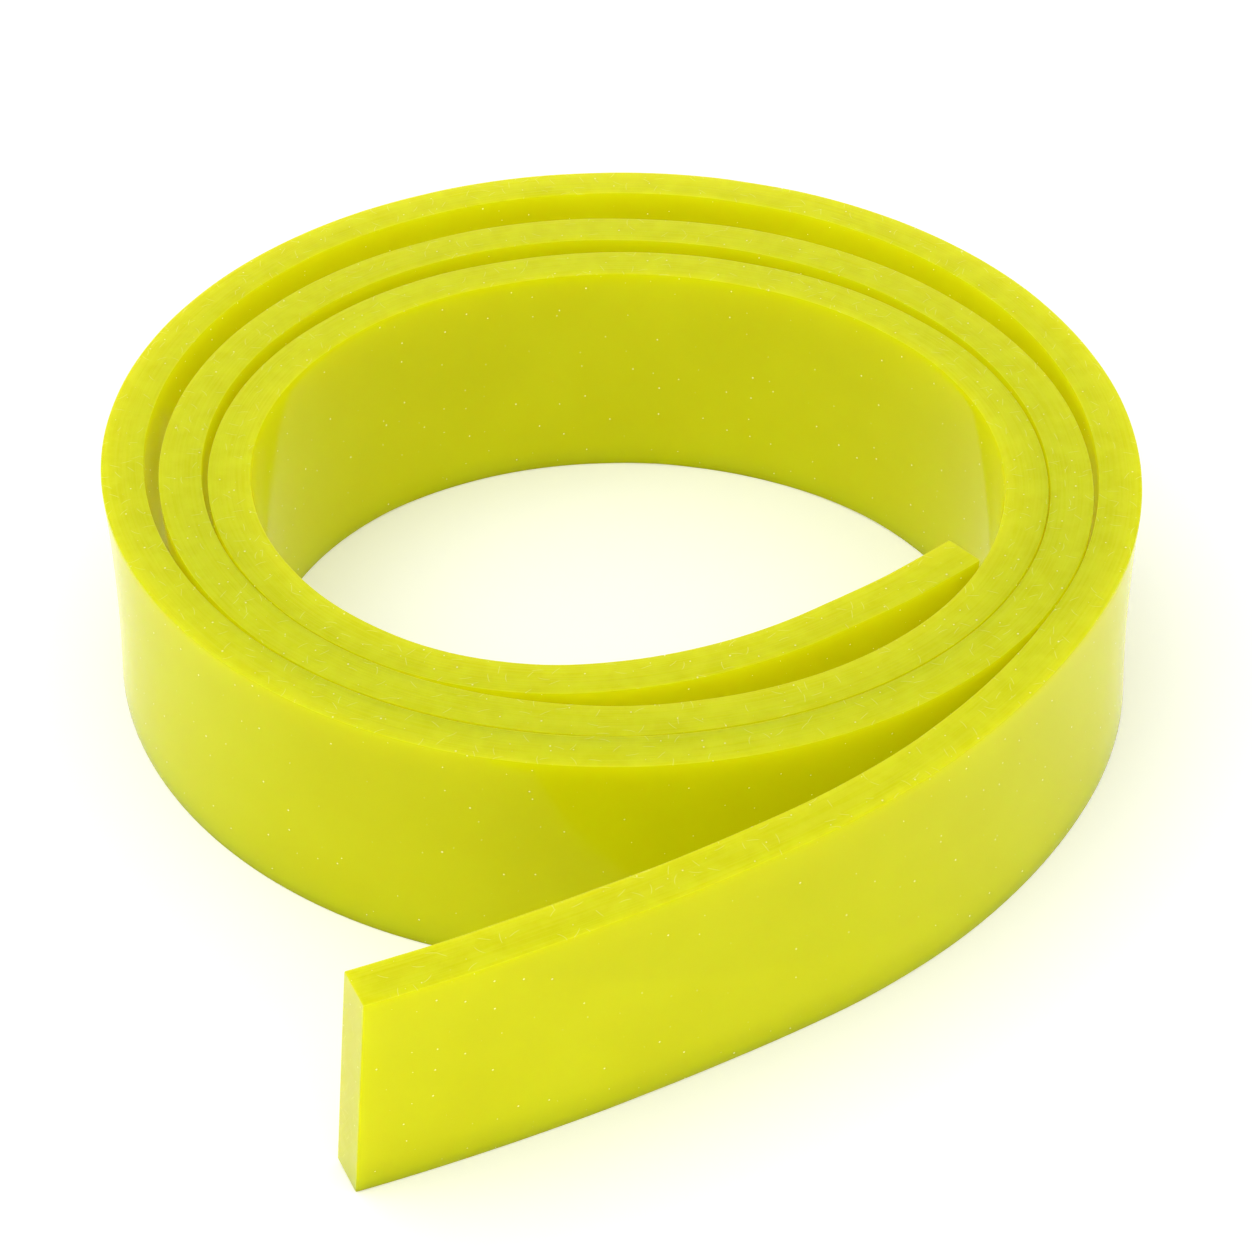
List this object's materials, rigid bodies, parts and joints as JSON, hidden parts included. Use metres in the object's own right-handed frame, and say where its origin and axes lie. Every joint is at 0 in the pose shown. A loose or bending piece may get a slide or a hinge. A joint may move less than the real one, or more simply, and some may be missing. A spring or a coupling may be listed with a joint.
{
  "type": "squeegee blade",
  "caption": "Coiled length of translucent polyurethane squeegee blade, standing on its long edge with one end run out as a free tail.",
  "frame": {"origin": "centre of the coil's footprint box, on the plane that its cut edge stands on", "axes": "+Z across the blade's width, up; +Y away from the free tail; +X to the right seen from the tail's side"},
  "size_m": [0.2064, 0.2598, 0.05],
  "materials": {
    "urethane": "translucent, glossy on the moulded faces and satin on the cut edges"
  },
  "bodies": {
    "root": {"squeegee_blade": "urethane"}
  },
  "joints": []
}
